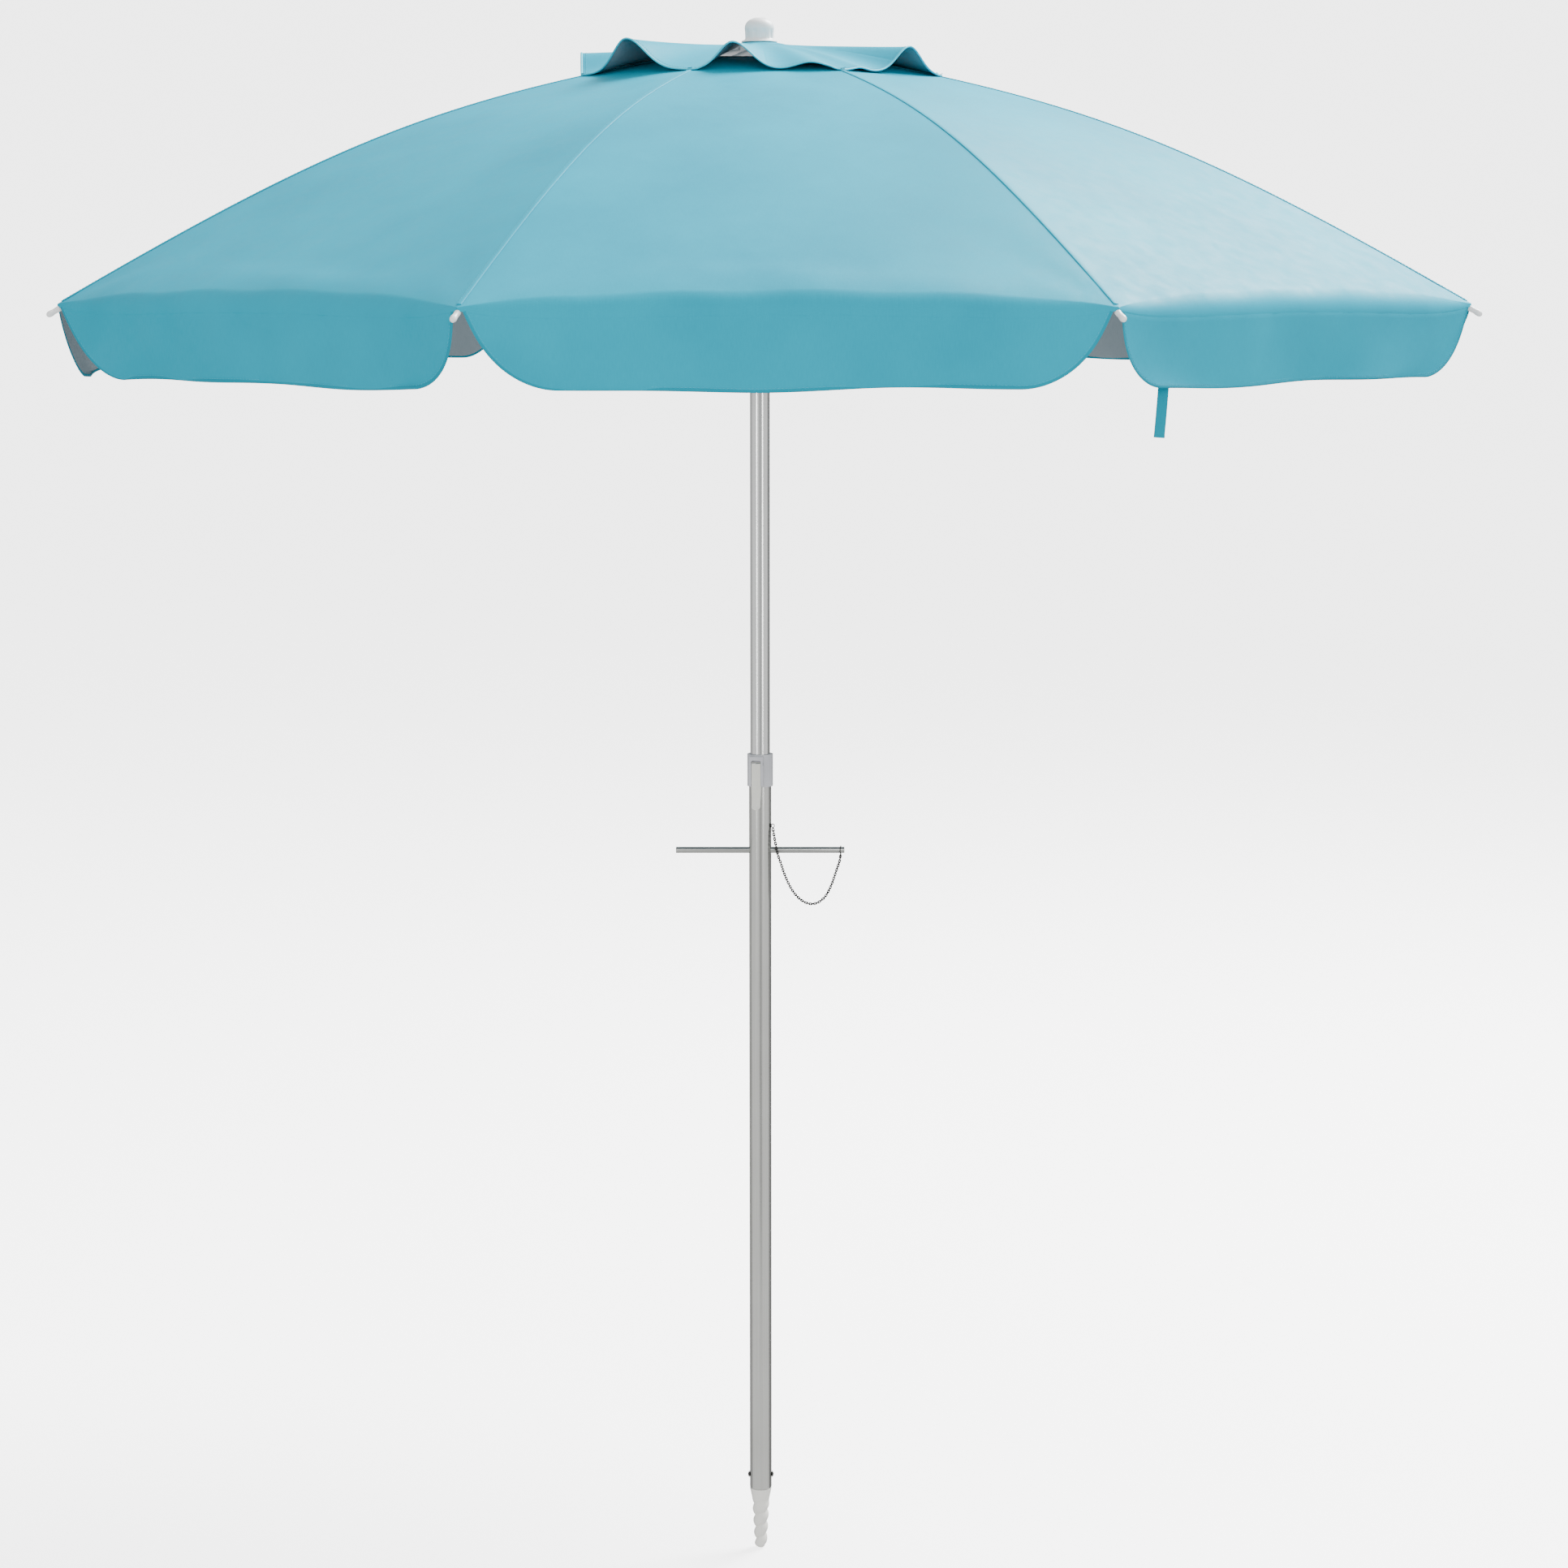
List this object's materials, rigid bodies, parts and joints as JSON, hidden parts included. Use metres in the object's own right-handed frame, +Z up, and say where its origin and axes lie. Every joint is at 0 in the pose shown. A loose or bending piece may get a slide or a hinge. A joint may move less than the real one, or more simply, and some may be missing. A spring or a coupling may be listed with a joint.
{
  "type": "beach umbrella",
  "caption": "Vented beach umbrella on a telescopic tilting pole with a sand anchor and a folding ribbed canopy.",
  "frame": {"origin": "tip of the sand anchor, on the pole's axis", "axes": "+Z up along the pole; +X along the turning bar, towards its chain; -Y is the front, where the lever is"},
  "size_m": [1.8918, 1.8918, 2.2046],
  "materials": {
    "pole_aluminium": "satin, drawn",
    "steel": "plain",
    "chain_steel": "plain",
    "anchor_plastic": "moulded",
    "collar_plastic": "moulded",
    "lever_plastic": "moulded",
    "white_plastic": "moulded",
    "rib_fibreglass": "drawn",
    "canopy_fabric": "woven, silver-backed",
    "valance_fabric": "woven, silver-backed",
    "trim_fabric": "woven tape"
  },
  "bodies": {
    "pole": {"lower_pole": "pole_aluminium", "sand_anchor": "anchor_plastic", "anchor_bolt": "steel", "chain_eyelet": "chain_steel", "chain": "chain_steel", "lock_collar": "collar_plastic", "lever_pin": "steel"},
    "turning_bar": {"turning_bar": "steel"},
    "lock_lever": {"lock_lever": "lever_plastic"},
    "upper_pole": {"upper_pole": "pole_aluminium", "tilt_socket": "collar_plastic"},
    "tilt_button": {"tilt_button": "lever_plastic"},
    "mast": {"mast_tube": "pole_aluminium", "tilt_knuckle": "collar_plastic", "crown": "white_plastic", "finial": "white_plastic", "vent_canopy": "canopy_fabric"},
    "runner": {"runner": "white_plastic"},
    "runner_button": {"runner_button": "lever_plastic"},
    "rib_1": {"rib_1": "rib_fibreglass", "rib_tip_1": "white_plastic"},
    "stretcher_1": {"stretcher_1": "rib_fibreglass"},
    "panel_1": {"canopy_panel_1": "canopy_fabric"},
    "valance_1": {"valance_1": "valance_fabric"},
    "rib_2": {"rib_2": "rib_fibreglass", "rib_tip_2": "white_plastic"},
    "stretcher_2": {"stretcher_2": "rib_fibreglass"},
    "panel_2": {"canopy_panel_2": "canopy_fabric"},
    "valance_2": {"valance_2": "valance_fabric"},
    "rib_3": {"rib_3": "rib_fibreglass", "rib_tip_3": "white_plastic"},
    "stretcher_3": {"stretcher_3": "rib_fibreglass"},
    "panel_3": {"canopy_panel_3": "canopy_fabric"},
    "valance_3": {"valance_3": "valance_fabric"},
    "rib_4": {"rib_4": "rib_fibreglass", "rib_tip_4": "white_plastic"},
    "stretcher_4": {"stretcher_4": "rib_fibreglass"},
    "panel_4": {"canopy_panel_4": "canopy_fabric"},
    "valance_4": {"valance_4": "valance_fabric"},
    "rib_5": {"rib_5": "rib_fibreglass", "rib_tip_5": "white_plastic"},
    "stretcher_5": {"stretcher_5": "rib_fibreglass"},
    "panel_5": {"canopy_panel_5": "canopy_fabric"},
    "valance_5": {"valance_5": "valance_fabric"},
    "rib_6": {"rib_6": "rib_fibreglass", "rib_tip_6": "white_plastic"},
    "stretcher_6": {"stretcher_6": "rib_fibreglass"},
    "panel_6": {"canopy_panel_6": "canopy_fabric"},
    "valance_6": {"valance_6": "valance_fabric"},
    "rib_7": {"rib_7": "rib_fibreglass", "rib_tip_7": "white_plastic"},
    "stretcher_7": {"stretcher_7": "rib_fibreglass"},
    "panel_7": {"canopy_panel_7": "canopy_fabric"},
    "valance_7": {"valance_7": "valance_fabric", "closure_strap": "trim_fabric"},
    "rib_8": {"rib_8": "rib_fibreglass", "rib_tip_8": "white_plastic"},
    "stretcher_8": {"stretcher_8": "rib_fibreglass"},
    "panel_8": {"canopy_panel_8": "canopy_fabric"},
    "valance_8": {"valance_8": "valance_fabric"}
  },
  "joints": [
    {"name": "bar_slide", "type": "slide", "parent": "pole", "child": "turning_bar", "axis": [1, 0, 0], "range_m": [0, 0.09], "deforming": ["chain"]},
    {"name": "lever_flip", "type": "hinge", "parent": "pole", "child": "lock_lever", "pos_m": [-0.00538, -0.02009, 1.166], "axis": [-0.9659, 0.2588, 0], "range_deg": [0, 110]},
    {"name": "telescope", "type": "slide", "parent": "pole", "child": "upper_pole", "axis": [0, 0, 1], "range_m": [0, 0.08]},
    {"name": "tilt_button_press", "type": "slide", "parent": "upper_pole", "child": "tilt_button", "axis": [0, 1, 0], "range_m": [0, 0.002], "stiffness_N_per_m": 400, "springref_m": -0.002},
    {"name": "tilt", "type": "hinge", "parent": "upper_pole", "child": "mast", "pos_m": [0, 0, 1.77], "axis": [0, 1, 0], "range_deg": [0, 35]},
    {"name": "canopy_fold", "type": "slide", "parent": "mast", "child": "runner", "axis": [0, 0, 1], "range_m": [-0.6171, 0], "deforming": ["vent_canopy", "closure_strap", "canopy_panel_1", "valance_1", "canopy_panel_2", "valance_2", "canopy_panel_3", "valance_3", "canopy_panel_4", "valance_4", "canopy_panel_5", "valance_5", "canopy_panel_6", "valance_6", "canopy_panel_7", "valance_7", "canopy_panel_8", "valance_8"]},
    {"name": "runner_button_press", "type": "slide", "parent": "runner", "child": "runner_button", "axis": [0, 1, 0], "range_m": [0, 0.0025], "stiffness_N_per_m": 400, "springref_m": -0.002},
    {"name": "rib_1_fold", "type": "hinge", "parent": "mast", "child": "rib_1", "pos_m": [0.01813, 0.00845, 2.1567], "axis": [-0.4226, 0.9063, 0], "range_deg": [-0.1, 67.1]},
    {"name": "stretcher_1_fold", "type": "hinge", "parent": "rib_1", "child": "stretcher_1", "pos_m": [0.38971, 0.18173, 2.05832], "axis": [0.4226, -0.9063, 0], "range_deg": [-0.1, 131.52]},
    {"name": "panel_1_fold", "type": "hinge", "parent": "mast", "child": "panel_1", "pos_m": [-0.01051, -0.01147, 2.1262], "axis": [-0.7373, 0.6756, 0], "range_deg": [-0.1, 66.1]},
    {"name": "valance_1_swing", "type": "hinge", "parent": "panel_1", "child": "valance_1", "pos_m": [0.61792, 0.67434, 1.8177], "axis": [0.7373, -0.6756, 0], "range_deg": [-0.1, 66.1]},
    {"name": "rib_2_fold", "type": "hinge", "parent": "mast", "child": "rib_2", "pos_m": [0.00684, 0.01879, 2.1567], "axis": [-0.9397, 0.342, 0], "range_deg": [-0.1, 67.1]},
    {"name": "stretcher_2_fold", "type": "hinge", "parent": "rib_2", "child": "stretcher_2", "pos_m": [0.14707, 0.40407, 2.05832], "axis": [0.9397, -0.342, 0], "range_deg": [-0.1, 131.52]},
    {"name": "panel_2_fold", "type": "hinge", "parent": "mast", "child": "panel_2", "pos_m": [0.00068, -0.01554, 2.1262], "axis": [-0.999, -0.0436, 0], "range_deg": [-0.1, 66.1]},
    {"name": "valance_2_swing", "type": "hinge", "parent": "panel_2", "child": "valance_2", "pos_m": [-0.0399, 0.91377, 1.8177], "axis": [0.999, 0.0436, 0], "range_deg": [-0.1, 66.1]},
    {"name": "rib_3_fold", "type": "hinge", "parent": "mast", "child": "rib_3", "pos_m": [-0.00845, 0.01813, 2.1567], "axis": [-0.9063, -0.4226, 0], "range_deg": [-0.1, 67.1]},
    {"name": "stretcher_3_fold", "type": "hinge", "parent": "rib_3", "child": "stretcher_3", "pos_m": [-0.18173, 0.38971, 2.05832], "axis": [0.9063, 0.4226, 0], "range_deg": [-0.1, 131.52]},
    {"name": "panel_3_fold", "type": "hinge", "parent": "mast", "child": "panel_3", "pos_m": [0.01147, -0.01051, 2.1262], "axis": [-0.6756, -0.7373, 0], "range_deg": [-0.1, 66.1]},
    {"name": "valance_3_swing", "type": "hinge", "parent": "panel_3", "child": "valance_3", "pos_m": [-0.67434, 0.61792, 1.8177], "axis": [0.6756, 0.7373, 0], "range_deg": [-0.1, 66.1]},
    {"name": "rib_4_fold", "type": "hinge", "parent": "mast", "child": "rib_4", "pos_m": [-0.01879, 0.00684, 2.1567], "axis": [-0.342, -0.9397, 0], "range_deg": [-0.1, 67.1]},
    {"name": "stretcher_4_fold", "type": "hinge", "parent": "rib_4", "child": "stretcher_4", "pos_m": [-0.40407, 0.14707, 2.05832], "axis": [0.342, 0.9397, 0], "range_deg": [-0.1, 131.52]},
    {"name": "panel_4_fold", "type": "hinge", "parent": "mast", "child": "panel_4", "pos_m": [0.01554, 0.00068, 2.1262], "axis": [0.0436, -0.999, 0], "range_deg": [-0.1, 66.1]},
    {"name": "valance_4_swing", "type": "hinge", "parent": "panel_4", "child": "valance_4", "pos_m": [-0.91377, -0.0399, 1.8177], "axis": [-0.0436, 0.999, 0], "range_deg": [-0.1, 66.1]},
    {"name": "rib_5_fold", "type": "hinge", "parent": "mast", "child": "rib_5", "pos_m": [-0.01813, -0.00845, 2.1567], "axis": [0.4226, -0.9063, 0], "range_deg": [-0.1, 67.1]},
    {"name": "stretcher_5_fold", "type": "hinge", "parent": "rib_5", "child": "stretcher_5", "pos_m": [-0.38971, -0.18173, 2.05832], "axis": [-0.4226, 0.9063, 0], "range_deg": [-0.1, 131.52]},
    {"name": "panel_5_fold", "type": "hinge", "parent": "mast", "child": "panel_5", "pos_m": [0.01051, 0.01147, 2.1262], "axis": [0.7373, -0.6756, 0], "range_deg": [-0.1, 66.1]},
    {"name": "valance_5_swing", "type": "hinge", "parent": "panel_5", "child": "valance_5", "pos_m": [-0.61792, -0.67434, 1.8177], "axis": [-0.7373, 0.6756, 0], "range_deg": [-0.1, 66.1]},
    {"name": "rib_6_fold", "type": "hinge", "parent": "mast", "child": "rib_6", "pos_m": [-0.00684, -0.01879, 2.1567], "axis": [0.9397, -0.342, 0], "range_deg": [-0.1, 67.1]},
    {"name": "stretcher_6_fold", "type": "hinge", "parent": "rib_6", "child": "stretcher_6", "pos_m": [-0.14707, -0.40407, 2.05832], "axis": [-0.9397, 0.342, 0], "range_deg": [-0.1, 131.52]},
    {"name": "panel_6_fold", "type": "hinge", "parent": "mast", "child": "panel_6", "pos_m": [-0.00068, 0.01554, 2.1262], "axis": [0.999, 0.0436, 0], "range_deg": [-0.1, 66.1]},
    {"name": "valance_6_swing", "type": "hinge", "parent": "panel_6", "child": "valance_6", "pos_m": [0.0399, -0.91377, 1.8177], "axis": [-0.999, -0.0436, 0], "range_deg": [-0.1, 66.1]},
    {"name": "rib_7_fold", "type": "hinge", "parent": "mast", "child": "rib_7", "pos_m": [0.00845, -0.01813, 2.1567], "axis": [0.9063, 0.4226, 0], "range_deg": [-0.1, 67.1]},
    {"name": "stretcher_7_fold", "type": "hinge", "parent": "rib_7", "child": "stretcher_7", "pos_m": [0.18173, -0.38971, 2.05832], "axis": [-0.9063, -0.4226, 0], "range_deg": [-0.1, 131.52]},
    {"name": "panel_7_fold", "type": "hinge", "parent": "mast", "child": "panel_7", "pos_m": [-0.01147, 0.01051, 2.1262], "axis": [0.6756, 0.7373, 0], "range_deg": [-0.1, 66.1]},
    {"name": "valance_7_swing", "type": "hinge", "parent": "panel_7", "child": "valance_7", "pos_m": [0.67434, -0.61792, 1.8177], "axis": [-0.6756, -0.7373, 0], "range_deg": [-0.1, 66.1]},
    {"name": "rib_8_fold", "type": "hinge", "parent": "mast", "child": "rib_8", "pos_m": [0.01879, -0.00684, 2.1567], "axis": [0.342, 0.9397, 0], "range_deg": [-0.1, 67.1]},
    {"name": "stretcher_8_fold", "type": "hinge", "parent": "rib_8", "child": "stretcher_8", "pos_m": [0.40407, -0.14707, 2.05832], "axis": [-0.342, -0.9397, 0], "range_deg": [-0.1, 131.52]},
    {"name": "panel_8_fold", "type": "hinge", "parent": "mast", "child": "panel_8", "pos_m": [-0.01554, -0.00068, 2.1262], "axis": [-0.0436, 0.999, 0], "range_deg": [-0.1, 66.1]},
    {"name": "valance_8_swing", "type": "hinge", "parent": "panel_8", "child": "valance_8", "pos_m": [0.91377, 0.0399, 1.8177], "axis": [0.0436, -0.999, 0], "range_deg": [-0.1, 66.1]}
  ],
  "couplings": [
    {"joint": "rib_1_fold", "follows": "canopy_fold", "rad_per_m": -1.8949},
    {"joint": "stretcher_1_fold", "follows": "canopy_fold", "rad_per_m": -3.7169},
    {"joint": "panel_1_fold", "follows": "canopy_fold", "rad_per_m": -1.8667},
    {"joint": "valance_1_swing", "follows": "canopy_fold", "rad_per_m": -1.8667},
    {"joint": "rib_2_fold", "follows": "canopy_fold", "rad_per_m": -1.8949},
    {"joint": "stretcher_2_fold", "follows": "canopy_fold", "rad_per_m": -3.7169},
    {"joint": "panel_2_fold", "follows": "canopy_fold", "rad_per_m": -1.8667},
    {"joint": "valance_2_swing", "follows": "canopy_fold", "rad_per_m": -1.8667},
    {"joint": "rib_3_fold", "follows": "canopy_fold", "rad_per_m": -1.8949},
    {"joint": "stretcher_3_fold", "follows": "canopy_fold", "rad_per_m": -3.7169},
    {"joint": "panel_3_fold", "follows": "canopy_fold", "rad_per_m": -1.8667},
    {"joint": "valance_3_swing", "follows": "canopy_fold", "rad_per_m": -1.8667},
    {"joint": "rib_4_fold", "follows": "canopy_fold", "rad_per_m": -1.8949},
    {"joint": "stretcher_4_fold", "follows": "canopy_fold", "rad_per_m": -3.7169},
    {"joint": "panel_4_fold", "follows": "canopy_fold", "rad_per_m": -1.8667},
    {"joint": "valance_4_swing", "follows": "canopy_fold", "rad_per_m": -1.8667},
    {"joint": "rib_5_fold", "follows": "canopy_fold", "rad_per_m": -1.8949},
    {"joint": "stretcher_5_fold", "follows": "canopy_fold", "rad_per_m": -3.7169},
    {"joint": "panel_5_fold", "follows": "canopy_fold", "rad_per_m": -1.8667},
    {"joint": "valance_5_swing", "follows": "canopy_fold", "rad_per_m": -1.8667},
    {"joint": "rib_6_fold", "follows": "canopy_fold", "rad_per_m": -1.8949},
    {"joint": "stretcher_6_fold", "follows": "canopy_fold", "rad_per_m": -3.7169},
    {"joint": "panel_6_fold", "follows": "canopy_fold", "rad_per_m": -1.8667},
    {"joint": "valance_6_swing", "follows": "canopy_fold", "rad_per_m": -1.8667},
    {"joint": "rib_7_fold", "follows": "canopy_fold", "rad_per_m": -1.8949},
    {"joint": "stretcher_7_fold", "follows": "canopy_fold", "rad_per_m": -3.7169},
    {"joint": "panel_7_fold", "follows": "canopy_fold", "rad_per_m": -1.8667},
    {"joint": "valance_7_swing", "follows": "canopy_fold", "rad_per_m": -1.8667},
    {"joint": "rib_8_fold", "follows": "canopy_fold", "rad_per_m": -1.8949},
    {"joint": "stretcher_8_fold", "follows": "canopy_fold", "rad_per_m": -3.7169},
    {"joint": "panel_8_fold", "follows": "canopy_fold", "rad_per_m": -1.8667},
    {"joint": "valance_8_swing", "follows": "canopy_fold", "rad_per_m": -1.8667}
  ]
}
